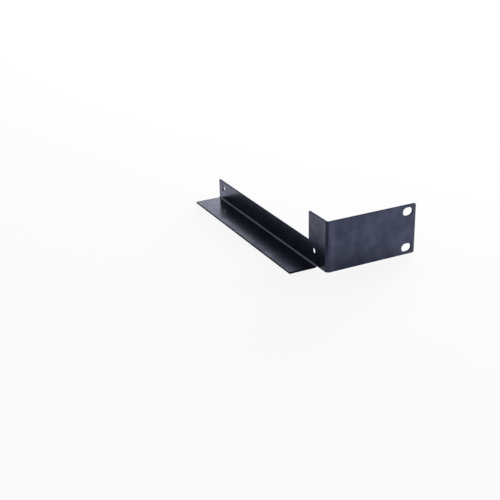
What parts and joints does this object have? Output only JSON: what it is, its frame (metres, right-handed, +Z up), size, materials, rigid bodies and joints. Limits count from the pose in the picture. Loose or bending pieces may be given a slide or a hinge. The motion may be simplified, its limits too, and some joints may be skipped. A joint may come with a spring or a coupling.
{
  "type": "rack depth extender bracket",
  "caption": "Folded steel rack bracket: slotted one-unit ear, stepped side wall and a long inward shelf that carries a narrow unit deep in a rack.",
  "frame": {"origin": "on the rear face of the ear, the face that seats on the rack, midway between its upper and lower slot", "axes": "+X out along the ear to its end, +Y into the rack along the rail, +Z up"},
  "size_m": [0.1089, 0.2, 0.0451],
  "materials": {
    "powder_coat": "black satin powder coat with a fine orange-peel texture"
  },
  "bodies": {
    "root": {"bracket": "powder_coat"}
  },
  "joints": []
}
